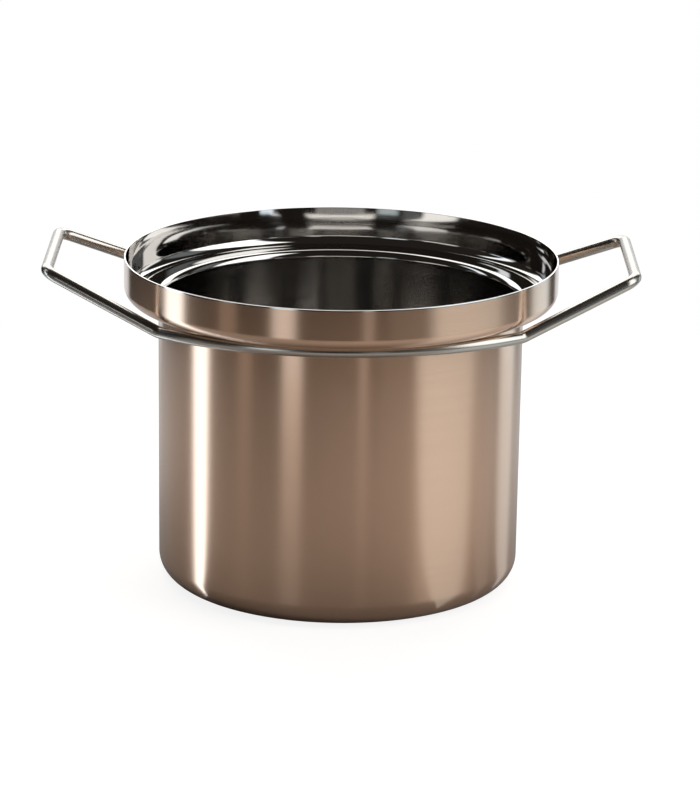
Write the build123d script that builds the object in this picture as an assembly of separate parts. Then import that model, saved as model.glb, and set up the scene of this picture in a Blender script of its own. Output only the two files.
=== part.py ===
# Double boiler: a stepped pot with a copper-coloured outside, a hanging inner pan and one bent wire
# that makes both handles.
# The pot stands on Z = 0 with its axis on Z, and the two handles point along -X and +X.
from build123d import *
import os
from math import radians, sqrt, tan

# Pot outside, in millimetres
body_diameter = 202.2
pot_height = 183.0
body_draft = 0.5
collar_overhang = 18.9
collar_height = 22.6
collar_corner_radius = 6.6
neck_radius = 3.0
base_corner_radius = 13.5

# Pot wall: a copper-coloured skin over a steel liner, with a thick core under the floor
skin_thickness = 0.4
liner_thickness = 0.6
rim_lip_height = 0.7
rim_edge_radius = 0.25
collar_bore_draft = 1.9
core_thickness = 4.0
core_edge_radius = 1.0

# Inner pan, which hangs on the pot's shelf
pan_thickness = 0.6
water_depth = 41.4
pan_draft_inset = 3.0
pan_corner_radius = 22.0
pan_shoulder_radius = 3.5
pan_clearance = 0.45
flange_clearance = 0.5
flange_edge_radius = 0.2

# Handle wire, measured on its centre line
wire_diameter = 6.5
frame_arc_radius = 155.8
frame_arc_end_inset = 0.6
ankle_bend_radius = 9.0
ankle_run_share = 1.25
grip_reach = 39.4
grip_width = 93.2
grip_rise = 26.75
grip_bend_radius = 10.0
frame_to_collar_gap = 0.5
frame_touch_gap = 0.05

# Weld beads that hold the wire under the collar
weld_run = 12.0
weld_radius = 1.9
weld_side_share = 0.8
weld_clearance = 0.6
weld_gap = 0.03

# Amount by which a cutting shape runs past what it cuts
overrun = 5.0

# Places of the pot, worked out from the sizes above: its body narrows from body_radius under the
# collar to base_radius at the floor, and the collar's bore from the rim to the shelf
body_radius = body_diameter / 2
collar_radius = body_radius + collar_overhang
collar_under_z = pot_height - collar_height
sheet_thickness = skin_thickness + liner_thickness
shelf_z = collar_under_z + sheet_thickness
base_radius = body_radius - body_draft
liner_under_z = skin_thickness + core_thickness
pot_floor_z = liner_under_z + liner_thickness

# Places of the handle wire
wire_radius = wire_diameter / 2
frame_z = collar_under_z - frame_to_collar_gap - wire_radius
frame_front_y = body_radius + frame_touch_gap + wire_radius
arc_centre_y = frame_arc_radius - frame_front_y


def turned(points, radii):
    """Solid turned about Z from (radius, height) points that start and end on the axis."""
    outline = FilletPolyline(*[(r, 0, z) for r, z in points], radius=radii)
    axis_line = Line(outline @ 1, outline @ 0)
    return revolve(make_face([outline, axis_line]), Axis.Z)


def pot_form(inset, floor_z, top_z, collar_slope=0):
    """The stepped pot as a filled body, drawn in by inset from its outside."""
    step_z = collar_under_z + inset
    points = [
        (0, floor_z),
        (base_radius - inset, floor_z),
        (body_radius - inset, step_z),
        (collar_radius - inset - collar_slope * (pot_height - step_z), step_z),
        (collar_radius - inset - collar_slope * (pot_height - top_z), top_z),
        (0, top_z),
    ]
    radii = [base_corner_radius - inset, neck_radius + inset, collar_corner_radius - inset, 0]
    return turned(points, radii)


def make_pot_skin():
    """Copper-coloured outer shell, from the resting face to just under the rim."""
    outside = pot_form(0, 0, pot_height - rim_lip_height)
    return outside - pot_form(skin_thickness, skin_thickness, pot_height + overrun)


def make_pot_liner():
    """Steel inner shell, with a lip over the skin's edge and a collar that narrows to the shelf."""
    shell = pot_form(skin_thickness, liner_under_z, pot_height)
    lip = Pos(0, 0, pot_height) * Cylinder(
        collar_radius, rim_lip_height, align=(Align.CENTER, Align.CENTER, Align.MAX)
    )
    bore_slope = collar_bore_draft / (pot_height - shelf_z)
    hollow = pot_form(sheet_thickness, pot_floor_z, pot_height + overrun, bore_slope)
    liner = shell + lip - hollow
    rim_edges = liner.edges().filter_by(GeomType.CIRCLE).group_by(Axis.Z)[-1]
    return fillet(rim_edges, rim_edge_radius)


def make_base_core():
    """Aluminium disc that spreads the heat, closed in between the two floors."""
    disc = Pos(0, 0, skin_thickness) * Cylinder(
        base_radius - base_corner_radius, core_thickness, align=(Align.CENTER, Align.CENTER, Align.MIN)
    )
    return fillet(disc.edges().filter_by(GeomType.CIRCLE), core_edge_radius)


def make_inner_pan():
    """Drawn steel pan, whose flange lies on the pot's shelf over the water."""
    floor_z = pot_floor_z + water_depth
    mouth_radius = body_radius - sheet_thickness - pan_clearance
    floor_radius = mouth_radius - pan_draft_inset
    flange_radius = collar_radius - collar_bore_draft - collar_corner_radius - flange_clearance
    slope = pan_draft_inset / (shelf_z - floor_z)
    wall_step = pan_thickness * (sqrt(1 + slope**2) - slope)
    top_z = shelf_z + pan_thickness
    outside = turned(
        [(0, floor_z), (floor_radius, floor_z), (mouth_radius, shelf_z),
         (flange_radius, shelf_z), (flange_radius, top_z), (0, top_z)],
        [pan_corner_radius, pan_shoulder_radius, 0, 0],
    )
    hollow = turned(
        [(0, floor_z + pan_thickness), (floor_radius - wall_step, floor_z + pan_thickness),
         (mouth_radius - wall_step, top_z), (flange_radius + overrun, top_z),
         (flange_radius + overrun, top_z + overrun), (0, top_z + overrun)],
        [pan_corner_radius - pan_thickness, pan_shoulder_radius + pan_thickness, 0, 0],
    )
    pan = outside - hollow
    flange_edges = pan.edges().filter_by(GeomType.CIRCLE).group_by(SortBy.RADIUS)[-1]
    return fillet(flange_edges, flange_edge_radius)


def arc_point(distance):
    """Point of the wire's rear arc, on the +X side, at a distance from the pot's axis."""
    y = (frame_arc_radius**2 - arc_centre_y**2 - distance**2) / (2 * arc_centre_y)
    return Vector(sqrt(distance**2 - y**2), y, frame_z)


def arc_direction(point):
    """Direction of the wire's rear arc at a point, towards +X."""
    return Vector(point.Y + arc_centre_y, -point.X, 0).normalized()


def frame_arc(side):
    """Front (-1) or rear (+1) stretch of the wire, which runs under the collar."""
    end = arc_point(collar_radius - frame_arc_end_inset)
    return ThreePointArc(
        (-end.X, side * end.Y, frame_z), (0, side * frame_front_y, frame_z), (end.X, side * end.Y, frame_z)
    )


def frame_grip(side):
    """Left (-1) or right (+1) handle, from the front arc's end to the rear one's."""
    arc_end = arc_point(collar_radius - frame_arc_end_inset)
    leaving = arc_direction(arc_end)
    grip_corner = Vector(collar_radius + grip_reach, grip_width / 2, frame_z + grip_rise)
    ankle_turn = radians(leaving.get_angle(grip_corner - arc_end))
    ankle = arc_end + leaving * (ankle_bend_radius * tan(ankle_turn / 2) * ankle_run_share)
    rear_half = [arc_end, ankle, grip_corner]
    points = [(side * p.X, -p.Y, p.Z) for p in rear_half]
    points += [(side * p.X, p.Y, p.Z) for p in reversed(rear_half)]
    radii = [ankle_bend_radius, grip_bend_radius, grip_bend_radius, ankle_bend_radius]
    return FilletPolyline(*points, radius=radii)


def frame_tube(tube_radius):
    """Round tube along the closed loop of the handle wire."""
    loop = Wire(
        frame_arc(-1).edges() + frame_grip(1).edges() + frame_arc(1).edges() + frame_grip(-1).edges()
    )
    section = Plane(origin=loop @ 0, z_dir=loop % 0) * Circle(tube_radius)
    return sweep(section, path=loop)


def make_handle_welds():
    """Four weld beads in the corner between the wire's inner side and the collar's underside."""
    side_step = weld_side_share * wire_radius
    spot = arc_point(body_radius + neck_radius + weld_clearance + weld_radius + side_step)
    under = Plane(origin=(spot.X, spot.Y, collar_under_z), x_dir=arc_direction(spot), z_dir=(0, 0, 1))
    bead = Rot(0, 90, 0) * Cylinder(weld_radius, weld_run)
    bead += [Pos(end * weld_run / 2, 0, 0) * Sphere(weld_radius) for end in (-1, 1)]
    bead = split(bead, Plane.XY, keep=Keep.BOTTOM)
    bead = under * Pos(0, -side_step, 0) * bead - frame_tube(wire_radius + weld_gap)
    right_beads = [bead, bead.mirror(Plane.XZ)]
    return Compound(right_beads + [b.mirror(Plane.YZ) for b in right_beads])


os.makedirs("parts", exist_ok=True)
parts = {
    "pot_skin": make_pot_skin(),
    "pot_liner": make_pot_liner(),
    "base_core": make_base_core(),
    "inner_pan": make_inner_pan(),
    "handle_frame": frame_tube(wire_radius),
    "handle_welds": make_handle_welds(),
}
for name, shape in parts.items():
    export_step(shape, f"parts/{name}.step")
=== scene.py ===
# Double boiler: stepped pot with a copper-coloured outside, hanging inner pan and one bent handle wire
import bpy
import bmesh
from math import asin, cos, pi, radians, sin, tan
from mathutils import Matrix, Vector


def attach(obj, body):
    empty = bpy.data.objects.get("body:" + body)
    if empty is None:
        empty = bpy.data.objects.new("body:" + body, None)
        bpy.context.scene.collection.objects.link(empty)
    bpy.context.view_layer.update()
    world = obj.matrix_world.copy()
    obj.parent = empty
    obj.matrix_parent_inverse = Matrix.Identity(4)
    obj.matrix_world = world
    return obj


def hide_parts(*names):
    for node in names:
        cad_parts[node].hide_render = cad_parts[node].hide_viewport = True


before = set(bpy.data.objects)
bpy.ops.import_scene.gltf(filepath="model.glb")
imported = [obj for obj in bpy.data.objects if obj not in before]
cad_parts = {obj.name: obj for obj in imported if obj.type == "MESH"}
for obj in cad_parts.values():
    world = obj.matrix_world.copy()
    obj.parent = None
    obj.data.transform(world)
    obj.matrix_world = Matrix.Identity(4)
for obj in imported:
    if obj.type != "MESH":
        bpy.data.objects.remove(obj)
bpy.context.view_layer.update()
scene = bpy.context.scene
scene.view_settings.view_transform = "Standard"
mm = 0.001
print("frame loaded:", ", ".join(sorted(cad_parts)))


# sRGB hex to the linear colour that the sockets take
def linear(hexColour):
    parts = [int(hexColour[i:i + 2], 16) / 255 for i in (1, 3, 5)]
    return [c / 12.92 if c <= 0.04045 else ((c + 0.055) / 1.055) ** 2.4 for c in parts] + [1.0]


# Adds one node with its settings, and with a value or a link for each input named
def addNode(tree, kind, settings=None, inputs=None):
    node = tree.nodes.new(kind)
    for name, value in (settings or {}).items():
        setattr(node, name, value)
    for key, value in (inputs or {}).items():
        if isinstance(value, bpy.types.NodeSocket):
            tree.links.new(value, node.inputs[key])
        else:
            node.inputs[key].default_value = value
    return node


# Empty material, and the tree that it is drawn in
def newMaterial(name):
    material = bpy.data.materials.new(name)
    material.use_nodes = True
    material.node_tree.nodes.clear()
    return material, material.node_tree


softEdges = {"interpolation_type": "SMOOTHSTEP"}  # settings of a Map Range node that eases in and out
noiseSpan = (0.3, 0.7)  # nearly all values of a Noise texture lie between these
quarterTurn = 0.25  # lays the blur of a brushed metal across its marks
showDepth = 10  # a Bump node's distance in real depths, so that marks this fine still show


# Sockets that a turned metal piece needs: its height, the direction round the axis, and a place
# stretched along the turning marks, which run round the axis at each height or radius
def turnedPlace(tree, markLength, markSpacing):
    place = addNode(tree, "ShaderNodeTexCoord").outputs["Object"]
    around = addNode(tree, "ShaderNodeVectorMath", {"operation": "CROSS_PRODUCT"},
                     {0: (0, 0, 1), 1: place}).outputs[0]
    radius = addNode(tree, "ShaderNodeVectorMath", {"operation": "LENGTH"}, {0: around}).outputs["Value"]
    split = addNode(tree, "ShaderNodeSeparateXYZ", inputs={0: place}).outputs
    profile = addNode(tree, "ShaderNodeMath", {"operation": "ADD"}, {0: split["Z"], 1: radius}).outputs[0]
    joined = addNode(tree, "ShaderNodeCombineXYZ", inputs={
        0: split["X"], 1: split["Y"], 2: profile}).outputs[0]
    stretched = addNode(tree, "ShaderNodeVectorMath", {"operation": "MULTIPLY"}, {
        0: joined, 1: (1 / markLength / mm, 1 / markLength / mm, 1 / markSpacing / mm)}).outputs[0]
    return split["Z"], around, stretched


# Stainless steel with a copper-coloured finish, brushed round the pot: tall blurred columns of light
# that stay sharp sideways, warm brown in the dark ones and nearly white in the bright ones
copper = {"colour": "#e3c1a6", "markColour": "#d9b397", "roughness": (0.235, 0.255), "stretch": 0.9,
          "lacquer": 1.0, "lacquerRoughness": 0.12,
          "markLength": 60, "markSpacing": 0.45, "markDepth": 0.0005, "markStrength": 0.25}  # mm


def brushedCopperSteel():
    material, tree = newMaterial("brushedCopperSteel")
    around, marksPlace = turnedPlace(tree, copper["markLength"], copper["markSpacing"])[1:]
    marks = addNode(tree, "ShaderNodeTexNoise", inputs={
        "Vector": marksPlace, "Scale": 1, "Detail": 3, "Roughness": 0.6}).outputs[0]
    colour = addNode(tree, "ShaderNodeMix", {"data_type": "RGBA"}, {
        0: marks, 6: linear(copper["markColour"]), 7: linear(copper["colour"])}).outputs[2]
    roughness = addNode(tree, "ShaderNodeMapRange", inputs={
        "Value": marks, "From Min": noiseSpan[0], "From Max": noiseSpan[1],
        "To Min": copper["roughness"][0], "To Max": copper["roughness"][1]}).outputs[0]
    bump = addNode(tree, "ShaderNodeBump", inputs={
        "Strength": copper["markStrength"], "Distance": copper["markDepth"] * mm * showDepth,
        "Height": marks}).outputs[0]
    shader = addNode(tree, "ShaderNodeBsdfPrincipled", inputs={
        "Base Color": colour, "Metallic": 1, "Roughness": roughness, "Anisotropic": copper["stretch"],
        "Anisotropic Rotation": quarterTurn, "Tangent": around, "Normal": bump,
        "Coat Weight": copper["lacquer"], "Coat Roughness": copper["lacquerRoughness"]}).outputs[0]
    addNode(tree, "ShaderNodeOutputMaterial", inputs={0: shader})
    return material


# Mirror-polished stainless steel: clear black and white reflections, with faint spun waviness
polished = {"colour": "#cdcac6", "roughness": 0.045,
            "waveLength": 45, "waveSpacing": 7, "waveDepth": 0.004, "waveStrength": 0.4}  # mm


def mirrorSteel():
    material, tree = newMaterial("mirrorSteel")
    wavePlace = turnedPlace(tree, polished["waveLength"], polished["waveSpacing"])[2]
    waves = addNode(tree, "ShaderNodeTexNoise", inputs={
        "Vector": wavePlace, "Scale": 1, "Detail": 1}).outputs[0]
    bump = addNode(tree, "ShaderNodeBump", inputs={
        "Strength": polished["waveStrength"], "Distance": polished["waveDepth"] * mm * showDepth,
        "Height": waves}).outputs[0]
    shader = addNode(tree, "ShaderNodeBsdfPrincipled", inputs={
        "Base Color": linear(polished["colour"]), "Metallic": 1, "Roughness": polished["roughness"],
        "Normal": bump}).outputs[0]
    addNode(tree, "ShaderNodeOutputMaterial", inputs={0: shader})
    return material


# Deep-drawn stainless steel: the flange and its shoulder are polished, and the well below is satin,
# brushed round, so it shows soft dark columns
panSteel = {"colour": "#c0bdb9", "polishedRoughness": 0.05, "satinRoughness": 0.11, "satinSpread": 0.03,
            "stretch": 0.9, "satinTop": 156, "polishBottom": 158.5,
            "markLength": 50, "markSpacing": 0.4, "markDepth": 0.002}  # mm


def drawnSteel():
    material, tree = newMaterial("drawnSteel")
    height, around, marksPlace = turnedPlace(tree, panSteel["markLength"], panSteel["markSpacing"])
    marks = addNode(tree, "ShaderNodeTexNoise", inputs={
        "Vector": marksPlace, "Scale": 1, "Detail": 3, "Roughness": 0.6}).outputs[0]
    satin = addNode(tree, "ShaderNodeMapRange", softEdges, {
        "Value": height, "From Min": panSteel["satinTop"] * mm, "From Max": panSteel["polishBottom"] * mm,
        "To Min": 1, "To Max": 0}).outputs[0]
    roughMark = addNode(tree, "ShaderNodeMapRange", inputs={
        "Value": marks, "From Min": noiseSpan[0], "From Max": noiseSpan[1],
        "To Min": panSteel["satinRoughness"] - panSteel["satinSpread"],
        "To Max": panSteel["satinRoughness"] + panSteel["satinSpread"]}).outputs[0]
    roughness = addNode(tree, "ShaderNodeMix", inputs={
        0: satin, 2: panSteel["polishedRoughness"], 3: roughMark}).outputs[0]
    bump = addNode(tree, "ShaderNodeBump", inputs={
        "Strength": satin, "Distance": panSteel["markDepth"] * mm, "Height": marks}).outputs[0]
    shader = addNode(tree, "ShaderNodeBsdfPrincipled", inputs={
        "Base Color": linear(panSteel["colour"]), "Metallic": 1, "Roughness": roughness,
        "Anisotropic": panSteel["stretch"], "Anisotropic Rotation": quarterTurn, "Tangent": around,
        "Normal": bump}).outputs[0]
    addNode(tree, "ShaderNodeOutputMaterial", inputs={0: shader})
    return material


# Drawn stainless wire, electropolished: bright, but softer than a mirror, with faint lumps from drawing
wireSteel = {"colour": "#c0bbb3", "roughness": (0.23, 0.25),
             "lumpSize": 12, "lumpDepth": 0.004, "lumpStrength": 0.12}  # mm


def polishedWire():
    material, tree = newMaterial("polishedWire")
    place = addNode(tree, "ShaderNodeTexCoord").outputs["Object"]
    lumps = addNode(tree, "ShaderNodeTexNoise", inputs={
        "Vector": place, "Scale": 1 / wireSteel["lumpSize"] / mm, "Detail": 2}).outputs[0]
    roughness = addNode(tree, "ShaderNodeMapRange", inputs={
        "Value": lumps, "From Min": noiseSpan[0], "From Max": noiseSpan[1],
        "To Min": wireSteel["roughness"][0], "To Max": wireSteel["roughness"][1]}).outputs[0]
    bump = addNode(tree, "ShaderNodeBump", inputs={
        "Strength": wireSteel["lumpStrength"], "Distance": wireSteel["lumpDepth"] * mm * showDepth,
        "Height": lumps}).outputs[0]
    shader = addNode(tree, "ShaderNodeBsdfPrincipled", inputs={
        "Base Color": linear(wireSteel["colour"]), "Metallic": 1, "Roughness": roughness,
        "Normal": bump}).outputs[0]
    addNode(tree, "ShaderNodeOutputMaterial", inputs={0: shader})
    return material


# Weld metal left as laid: dull grey steel with fine ripples 1.75 mm apart and a straw-coloured heat tint
weld = {"colour": "#a8a39c", "tintColour": "#b3a083", "roughness": 0.42, "tintSize": 4,
        "rippleScale": 180, "rippleDepth": 0.1, "rippleStrength": 0.6}


def weldMetal():
    material, tree = newMaterial("weldMetal")
    place = addNode(tree, "ShaderNodeTexCoord").outputs["Object"]
    ripples = addNode(tree, "ShaderNodeTexWave", inputs={
        "Vector": place, "Scale": weld["rippleScale"], "Distortion": 2, "Detail": 2}).outputs["Fac"]
    tint = addNode(tree, "ShaderNodeTexNoise", inputs={
        "Vector": place, "Scale": 1 / weld["tintSize"] / mm}).outputs[0]
    colour = addNode(tree, "ShaderNodeMix", {"data_type": "RGBA"}, {
        0: tint, 6: linear(weld["colour"]), 7: linear(weld["tintColour"])}).outputs[2]
    bump = addNode(tree, "ShaderNodeBump", inputs={
        "Strength": weld["rippleStrength"], "Distance": weld["rippleDepth"] * mm,
        "Height": ripples}).outputs[0]
    shader = addNode(tree, "ShaderNodeBsdfPrincipled", inputs={
        "Base Color": colour, "Metallic": 1, "Roughness": weld["roughness"], "Normal": bump}).outputs[0]
    addNode(tree, "ShaderNodeOutputMaterial", inputs={0: shader})
    return material


# Rolled aluminium disc, as it comes from the mill: pale grey, with straight rolling lines 50 mm long,
# two thirds of a millimetre apart
aluminium = {"colour": "#d5d6d8", "roughness": (0.35, 0.5), "lineScale": (20, 1500, 1500)}


def milledAluminium():
    material, tree = newMaterial("milledAluminium")
    place = addNode(tree, "ShaderNodeTexCoord").outputs["Object"]
    rolled = addNode(tree, "ShaderNodeMapping", inputs={
        "Vector": place, "Scale": aluminium["lineScale"]}).outputs[0]
    lines = addNode(tree, "ShaderNodeTexNoise", inputs={
        "Vector": rolled, "Scale": 1, "Detail": 2}).outputs[0]
    roughness = addNode(tree, "ShaderNodeMapRange", inputs={
        "Value": lines, "To Min": aluminium["roughness"][0],
        "To Max": aluminium["roughness"][1]}).outputs[0]
    shader = addNode(tree, "ShaderNodeBsdfPrincipled", inputs={
        "Base Color": linear(aluminium["colour"]), "Metallic": 1, "Roughness": roughness}).outputs[0]
    addNode(tree, "ShaderNodeOutputMaterial", inputs={0: shader})
    return material


joining = {"mergeWithin": 0.005, "sharpAngle": 40}  # mm, degrees


# Closes a bmesh into a finished object with smooth faces, and makes it ride on its body
def finishPiece(name, bm, material, body, node):
    bmesh.ops.remove_doubles(bm, verts=bm.verts, dist=joining["mergeWithin"] * mm)
    bmesh.ops.recalc_face_normals(bm, faces=bm.faces)
    for face in bm.faces:
        face.smooth = True
    for edge in bm.edges:
        edge.smooth = edge.calc_face_angle(0) < radians(joining["sharpAngle"])
    mesh = bpy.data.meshes.new(name)
    bm.to_mesh(mesh)
    bm.free()
    piece = bpy.data.objects.new(name, mesh)
    scene.collection.objects.link(piece)
    mesh.materials.append(material)
    flatten = piece.modifiers.new("flatFacesWin", "WEIGHTED_NORMAL")
    flatten.mode = "FACE_AREA"
    flatten.keep_sharp = True
    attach(piece, body)
    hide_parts(node)
    print(f"{name}: {len(mesh.polygons)} faces")


turning = {"steps": 256, "bendSegments": 14, "smallBend": 1, "smallBendSegments": 5}  # smallBend in mm


# Turns a wall's outline about the axis: (radius, height, corner radius) in mm, from the axis out and back
def turnOutline(outline):
    bm = bmesh.new()
    corners = [bm.verts.new((r * mm, 0, z * mm)) for r, z, _ in outline]
    for a, b in zip(corners, corners[1:]):
        bm.edges.new((a, b))
    places = [Vector((r, z)) for r, z, _ in outline]
    for i in range(1, len(outline) - 1):
        bend = outline[i][2]
        if bend:
            turn = (places[i] - places[i - 1]).angle(places[i + 1] - places[i])
            segments = turning["smallBendSegments" if bend < turning["smallBend"] else "bendSegments"]
            bmesh.ops.bevel(bm, geom=[corners[i]], offset=bend * tan(turn / 2) * mm, offset_type="OFFSET",
                            affect="VERTICES", segments=segments, profile=0.5, material=-1)
    bmesh.ops.spin(bm, geom=bm.verts[:] + bm.edges[:], cent=(0, 0, 0), axis=(0, 0, 1), dvec=(0, 0, 0),
                   angle=2 * pi, steps=turning["steps"], use_merge=True, use_normal_flip=False,
                   use_duplicate=False)
    return bm


# Copper-coloured skin, 0.4 mm thick
skinOutline = [
    (0, 0, 0), (100.6, 0, 13.5), (101.1, 160.4, 3.0), (120.0, 160.4, 6.6), (120.0, 182.3, 0),
    (119.6, 182.3, 0), (119.6, 160.8, 6.2), (100.7, 160.8, 3.4), (100.2, 0.4, 13.1), (0, 0.4, 0)]
# Steel liner, 0.6 mm thick, whose rim turns out over the skin's edge
linerOutline = [
    (0, 4.4, 0), (100.2, 4.4, 13.1), (100.7, 160.8, 3.4), (119.6, 160.8, 6.2), (119.6, 182.3, 0),
    (120.0, 182.3, 0), (120.0, 183.0, 0.25), (119.0, 183.0, 0.25), (117.1, 161.4, 5.6),
    (100.1, 161.4, 4.0), (99.6, 5.0, 12.5), (0, 5.0, 0)]
# Inner pan, 0.6 mm thick, with its flange on the shelf
panOutline = [
    (0, 46.4, 0), (96.65, 46.4, 22), (99.65, 161.4, 3.5), (111.0, 161.4, 0.2), (111.0, 162.0, 0.2),
    (99.065, 162.0, 4.1), (96.065, 47.0, 21.4), (0, 47.0, 0)]

finishPiece("copperSkin", turnOutline(skinOutline), brushedCopperSteel(), "pot", "pot_skin")
finishPiece("steelLiner", turnOutline(linerOutline), mirrorSteel(), "pot", "pot_liner")
finishPiece("hangingPan", turnOutline(panOutline), drawnSteel(), "pan", "inner_pan")

# Handle wire, in mm, on its centre line: from the middle of the front arc to the middle of the right grip
wire = {"radius": 3.25, "sides": 40, "level": 156.65, "frontY": -104.4,
        "arcRadius": 155.8, "arcEndX": 95.44, "arcSteps": 40,
        "corners": [(97.54, -70.12, 156.65), (159.4, -46.6, 183.4)], "bends": [9, 10], "bendSteps": 18,
        "end": (159.4, 0, 183.4), "mergeWithin": 0.02}


# Pulls the open end of the tube straight to a place, and returns its new edges
def pullEnd(bm, edges, move):
    pulled = bmesh.ops.extrude_edge_only(bm, edges=edges)["geom"]
    bmesh.ops.translate(bm, verts=[g for g in pulled if isinstance(g, bmesh.types.BMVert)], vec=move)
    return [g for g in pulled if isinstance(g, bmesh.types.BMEdge)]


# Swings the open end of the tube about an axis, and returns its new edges
def swingEnd(bm, edges, centre, axis, angle, steps):
    verts = list({v for e in edges for v in e.verts})
    swung = bmesh.ops.spin(bm, geom=verts + edges, cent=centre, axis=axis, dvec=(0, 0, 0), angle=angle,
                           steps=steps, use_merge=False, use_normal_flip=False, use_duplicate=False)
    return [g for g in swung["geom_last"] if isinstance(g, bmesh.types.BMEdge)]


def bendWire():
    bm = bmesh.new()
    start = Vector((0, wire["frontY"], wire["level"])) * mm
    bmesh.ops.create_circle(bm, cap_ends=False, radius=wire["radius"] * mm, segments=wire["sides"],
                            matrix=Matrix.Translation(start) @ Matrix.Rotation(pi / 2, 4, "Y"))
    arcTurn = asin(wire["arcEndX"] / wire["arcRadius"])
    arcCentre = start + Vector((0, wire["arcRadius"] * mm, 0))
    end = swingEnd(bm, bm.edges[:], arcCentre, (0, 0, 1), arcTurn, wire["arcSteps"])
    place = arcCentre + Matrix.Rotation(arcTurn, 3, "Z") @ (start - arcCentre)
    heading = Vector((cos(arcTurn), sin(arcTurn), 0))
    stops = [Vector(c) * mm for c in wire["corners"]] + [Vector(wire["end"]) * mm]
    for corner, after, bend in zip(stops, stops[1:], wire["bends"]):
        leaving = (after - corner).normalized()
        turn = heading.angle(leaving)
        bendStart = corner - heading * (bend * mm * tan(turn / 2))
        end = pullEnd(bm, end, bendStart - place)
        inwards = (leaving - heading * heading.dot(leaving)).normalized()
        end = swingEnd(bm, end, bendStart + inwards * bend * mm, heading.cross(leaving), turn,
                       wire["bendSteps"])
        place = corner + leaving * (bend * mm * tan(turn / 2))
        heading = leaving
    pullEnd(bm, end, stops[-1] - place)
    for axis in ("Y", "X"):
        bmesh.ops.mirror(bm, geom=bm.verts[:] + bm.edges[:] + bm.faces[:], matrix=Matrix(), axis=axis,
                         merge_dist=wire["mergeWithin"] * mm)
    return bm


finishPiece("handleWire", bendWire(), polishedWire(), "pot", "handle_frame")

# The disc and the weld beads keep their CAD shapes
for node, material in (("base_core", milledAluminium()), ("handle_welds", weldMetal())):
    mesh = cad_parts[node].data
    mesh.materials.clear()
    mesh.materials.append(material)
print("disc and weld beads dressed")

# Studio: soft panels round the table, and one softbox overhead that lights the table alone. A panel is its
# angle from the camera (degrees, left is minus), half width, soft edge, lowest and highest rise, strength,
# the share of it painted onto the table as a streak of painted reflection towards the pot, and colour
studio = {
    "fill": 0.022, "fillColour": "#fff0e2", "riseEdge": 3,
    "panels": [
        (-178, 38, 4, 11, 60, 2.3, 0, "#ffffff"),
        (-178, 26, 3, -18, 8, 0.8, 0, "#f6f8fa"),
        (-98, 7, 2.5, -18, 8, 2.8, 0.98, "#dceeff"),
        (-105, 4, 2, 8, 42, 1.8, 0, "#f0f6ff"),
        (-61, 4, 3, -18, 12, 0.3, 0, "#fff4e8"),
        (-29.5, 5.5, 3, -18, 12, 1.4, 0, "#f0f8ff"),
        (14.5, 2, 2, -18, 12, 0.45, 0, "#ffffff"),
        (34, 8, 4, -18, 12, 0.1, 0, "#ffffff"),
        (71.5, 22.5, 6, -18, 1, 0.55, 0.64, "#e1f6ff"),
        (70, 21, 4, 1, 66, 2.3, 0, "#fafcff"),
        (105, 9, 4, -18, 42, 0.2, 0.5, "#eef8ff"),
        (131, 10, 5, -18, 12, 1.15, 0.37, "#e4f6ff"),
    ],
    "overhead": 1.6, "overheadEdge": (62, 66),
}


# Level direction at an angle from the camera
def levelDirection(angle):
    return Vector((sin(radians(angle)), -cos(radians(angle)), 0))


# A panel's strength in a level direction, soft at its sides
def panelStrength(tree, direction, panel):
    angle, halfWidth, edge, strength = panel[0], panel[1], panel[2], panel[5]
    facing = addNode(tree, "ShaderNodeVectorMath", {"operation": "DOT_PRODUCT"}, {
        0: direction, 1: levelDirection(angle)}).outputs["Value"]
    return addNode(tree, "ShaderNodeMapRange", softEdges, {
        "Value": facing, "From Min": cos(radians(halfWidth + edge)),
        "From Max": cos(radians(max(halfWidth - edge, 0))), "To Max": strength}).outputs[0]


# Floor: pale, shown white, with the object's soft shadow. For metal it also glows with painted light and
# painted shade:
# left, right and behind are how bright this painted glow is there, and each edge gives the places, in
# metres, where such a change starts and ends
floor = {"size": 0.58, "sides": 64, "drop": 0.0002, "colour": "#8e8a86", "warmGlowColour": "#fff1e6",
         "cameraLift": 0.86, "left": 0.11, "right": 0.26, "sideEdge": (-0.25, 0.05),
         "behind": 0.22, "behindEdge": (-0.05, 0.15), "warmGlowEdge": (-0.1, 0.1), "footShadeEdge": (0.05, 0.36),
         "potRadius": 0.1}


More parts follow.
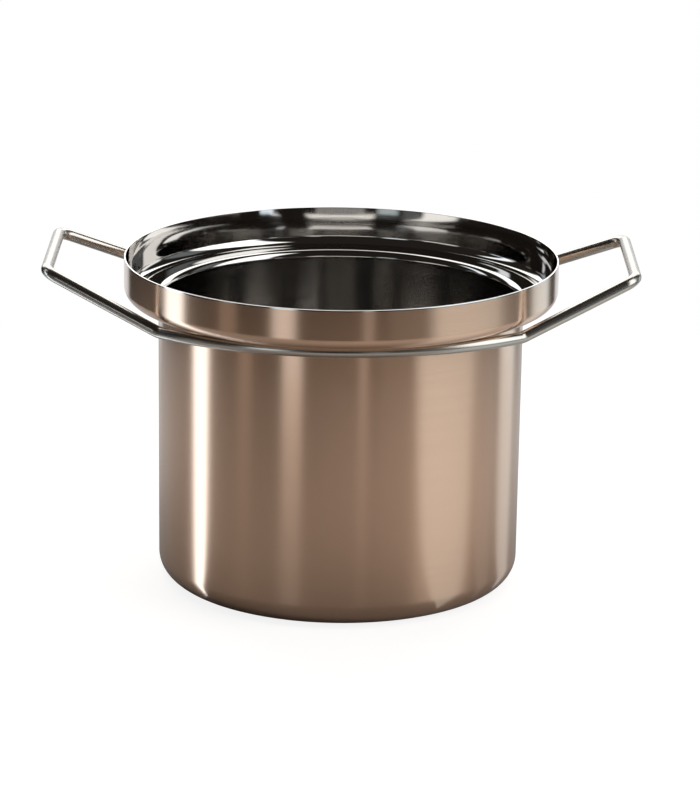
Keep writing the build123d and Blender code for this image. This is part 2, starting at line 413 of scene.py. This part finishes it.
def layFloor():
    bm = bmesh.new()
    bmesh.ops.create_circle(bm, cap_ends=True, radius=floor["size"], segments=floor["sides"],
                            matrix=Matrix.Translation((0, 0, -floor["drop"])))
    mesh = bpy.data.meshes.new("floor")
    bm.to_mesh(mesh)
    bm.free()
    piece = bpy.data.objects.new("floor", mesh)
    scene.collection.objects.link(piece)
    material, tree = newMaterial("paleFloor")
    path = addNode(tree, "ShaderNodeLightPath").outputs
    place = addNode(tree, "ShaderNodeTexCoord").outputs["Object"]
    split = addNode(tree, "ShaderNodeSeparateXYZ", inputs={0: place}).outputs
    # painted light that only metal sees on the table: a painted warm glow in front, a dimmer glow at the
    # left, and painted shade towards the pot's foot
    across = addNode(tree, "ShaderNodeMapRange", softEdges, {
        "Value": split["X"], "From Min": floor["sideEdge"][0], "From Max": floor["sideEdge"][1],
        "To Min": floor["left"], "To Max": floor["right"]}).outputs[0]
    side = addNode(tree, "ShaderNodeMapRange", softEdges, {
        "Value": split["Y"], "From Min": floor["behindEdge"][0], "From Max": floor["behindEdge"][1],
        "To Min": across, "To Max": floor["behind"]}).outputs[0]
    reach = addNode(tree, "ShaderNodeVectorMath", {"operation": "LENGTH"}, {0: place}).outputs["Value"]
    # painted shade: the glow that metal sees on the table fades out towards the pot's foot, where the pot
    # would shade the table
    clear = addNode(tree, "ShaderNodeMapRange", softEdges, {
        "Value": reach, "From Min": floor["footShadeEdge"][0], "From Max": floor["footShadeEdge"][1]}).outputs[0]
    shown = addNode(tree, "ShaderNodeMath", {"operation": "MULTIPLY"}, {
        0: path["Is Glossy Ray"], 1: clear}).outputs[0]
    glossy = addNode(tree, "ShaderNodeMath", {"operation": "MULTIPLY"}, {0: shown, 1: side}).outputs[0]
    inFront = addNode(tree, "ShaderNodeMapRange", inputs={
        "Value": split["Y"], "From Min": floor["warmGlowEdge"][0], "From Max": floor["warmGlowEdge"][1],
        "To Min": path["Is Glossy Ray"], "To Max": 0}).outputs[0]
    tint = addNode(tree, "ShaderNodeMix", {"data_type": "RGBA"}, {
        0: inFront, 6: (1, 1, 1, 1), 7: linear(floor["warmGlowColour"])}).outputs[2]
    seen = addNode(tree, "ShaderNodeMath", {"operation": "MAXIMUM"}, {
        0: path["Is Camera Ray"], 1: path["Is Transmission Ray"]}).outputs[0]
    lift = addNode(tree, "ShaderNodeMath", {"operation": "MULTIPLY_ADD"}, {
        0: seen, 1: floor["cameraLift"], 2: glossy}).outputs[0]
    glowing = addNode(tree, "ShaderNodeVectorMath", {"operation": "SCALE"}, {
        0: tint, "Scale": lift}).outputs[0]
    # a panel's painted reflection: a streak painted on the table, seen only by metal, which starts where
    # the pot mirrors that panel
    for panel in studio["panels"]:
        angle, paintedStreakShare, colour = panel[0], panel[6], panel[7]
        if paintedStreakShare:
            mirrorPlace = levelDirection(angle / 2) * floor["potRadius"]
            away = addNode(tree, "ShaderNodeVectorMath", {"operation": "SUBTRACT"}, {
                0: place, 1: mirrorPlace}).outputs[0]
            direction = addNode(tree, "ShaderNodeVectorMath", {"operation": "NORMALIZE"}, {
                0: away}).outputs[0]
            streak = addNode(tree, "ShaderNodeMath", {"operation": "MULTIPLY"}, {
                0: panelStrength(tree, direction, panel), 1: path["Is Glossy Ray"]}).outputs[0]
            shade = [c * paintedStreakShare for c in linear(colour)[:3]]
            shine = addNode(tree, "ShaderNodeVectorMath", {"operation": "SCALE"}, {
                0: shade, "Scale": streak}).outputs[0]
            glowing = addNode(tree, "ShaderNodeVectorMath", {"operation": "ADD"}, {
                0: glowing, 1: shine}).outputs[0]
    paint = addNode(tree, "ShaderNodeBsdfDiffuse", inputs={"Color": linear(floor["colour"])}).outputs[0]
    glow = addNode(tree, "ShaderNodeEmission", inputs={"Color": glowing, "Strength": 1}).outputs[0]
    both = addNode(tree, "ShaderNodeAddShader", inputs={0: paint, 1: glow}).outputs[0]
    addNode(tree, "ShaderNodeOutputMaterial", inputs={0: both})
    material.cycles.emission_sampling = "NONE"
    mesh.materials.append(material)
    print("floor laid")


layFloor()


def lightStudio():
    world = bpy.data.worlds.new("studio")
    scene.world = world
    world.use_nodes = True
    tree = world.node_tree
    tree.nodes.clear()
    direction = addNode(tree, "ShaderNodeTexCoord").outputs["Generated"]
    rise = addNode(tree, "ShaderNodeSeparateXYZ", inputs={0: direction}).outputs["Z"]
    level = addNode(tree, "ShaderNodeVectorMath", {"operation": "MULTIPLY"}, {
        0: direction, 1: (1, 1, 0)}).outputs[0]
    compass = addNode(tree, "ShaderNodeVectorMath", {"operation": "NORMALIZE"}, {0: level}).outputs[0]
    total = addNode(tree, "ShaderNodeVectorMath", {"operation": "SCALE"}, {
        0: linear(studio["fillColour"])[:3], "Scale": studio["fill"]}).outputs[0]
    for panel in studio["panels"]:
        low, top, colour = panel[3], panel[4], panel[7]
        cut = [[sin(radians(a + step * studio["riseEdge"])) for step in (-1, 1)] for a in (low, top)]
        above = addNode(tree, "ShaderNodeMapRange", softEdges, {
            "Value": rise, "From Min": cut[0][0], "From Max": cut[0][1]}).outputs[0]
        band = addNode(tree, "ShaderNodeMapRange", softEdges, {
            "Value": rise, "From Min": cut[1][0], "From Max": cut[1][1],
            "To Min": above, "To Max": 0}).outputs[0]
        share = panelStrength(tree, compass, panel)
        lit = addNode(tree, "ShaderNodeMath", {"operation": "MULTIPLY"}, {0: share, 1: band}).outputs[0]
        glow = addNode(tree, "ShaderNodeVectorMath", {"operation": "SCALE"}, {
            0: linear(colour)[:3], "Scale": lit}).outputs[0]
        total = addNode(tree, "ShaderNodeVectorMath", {"operation": "ADD"}, {0: total, 1: glow}).outputs[0]
    edges = [sin(radians(a)) for a in studio["overheadEdge"]]
    overhead = addNode(tree, "ShaderNodeMapRange", softEdges, {
        "Value": rise, "From Min": edges[0], "From Max": edges[1], "To Max": studio["overhead"]}).outputs[0]
    # the overhead softbox lights the table, but the metal shows a dark ceiling, as in the photograph
    path = addNode(tree, "ShaderNodeLightPath").outputs
    overTable = addNode(tree, "ShaderNodeMath", {"operation": "MULTIPLY"}, {
        0: overhead, 1: path["Is Diffuse Ray"]}).outputs[0]
    total = addNode(tree, "ShaderNodeVectorMath", {"operation": "ADD"}, {0: total, 1: overTable}).outputs[0]
    seen = addNode(tree, "ShaderNodeMath", {"operation": "MAXIMUM"}, {
        0: path["Is Camera Ray"], 1: path["Is Transmission Ray"]}).outputs[0]
    colour = addNode(tree, "ShaderNodeMix", {"data_type": "RGBA"}, {
        0: seen, 6: total, 7: (1, 1, 1, 1)}).outputs[2]
    shader = addNode(tree, "ShaderNodeBackground", inputs={"Color": colour, "Strength": 1}).outputs[0]
    addNode(tree, "ShaderNodeOutputWorld", inputs={0: shader})


lightStudio()

# Camera at the photograph's angle: turns in radians, focal length in pixels of a frame 800 pixels tall
view = {"place": (0, -1.9415, 0.6592), "pan": 0.0030, "tilt": 0.2803, "roll": 0.0147,
        "focalPixels": 3616.7, "framePixels": 800, "sensorWidth": 36}


def placeCamera():
    data = bpy.data.cameras.new("camera")
    data.sensor_width = view["sensorWidth"]
    data.lens = view["focalPixels"] * data.sensor_width / view["framePixels"]
    camera = bpy.data.objects.new("camera", data)
    scene.collection.objects.link(camera)
    camera.matrix_world = (Matrix.Translation(view["place"]) @ Matrix.Rotation(-view["pan"], 4, "Z")
                           @ Matrix.Rotation(pi / 2 - view["tilt"], 4, "X")
                           @ Matrix.Rotation(view["roll"], 4, "Z"))
    scene.camera = camera


placeCamera()
print("studio and camera ready")
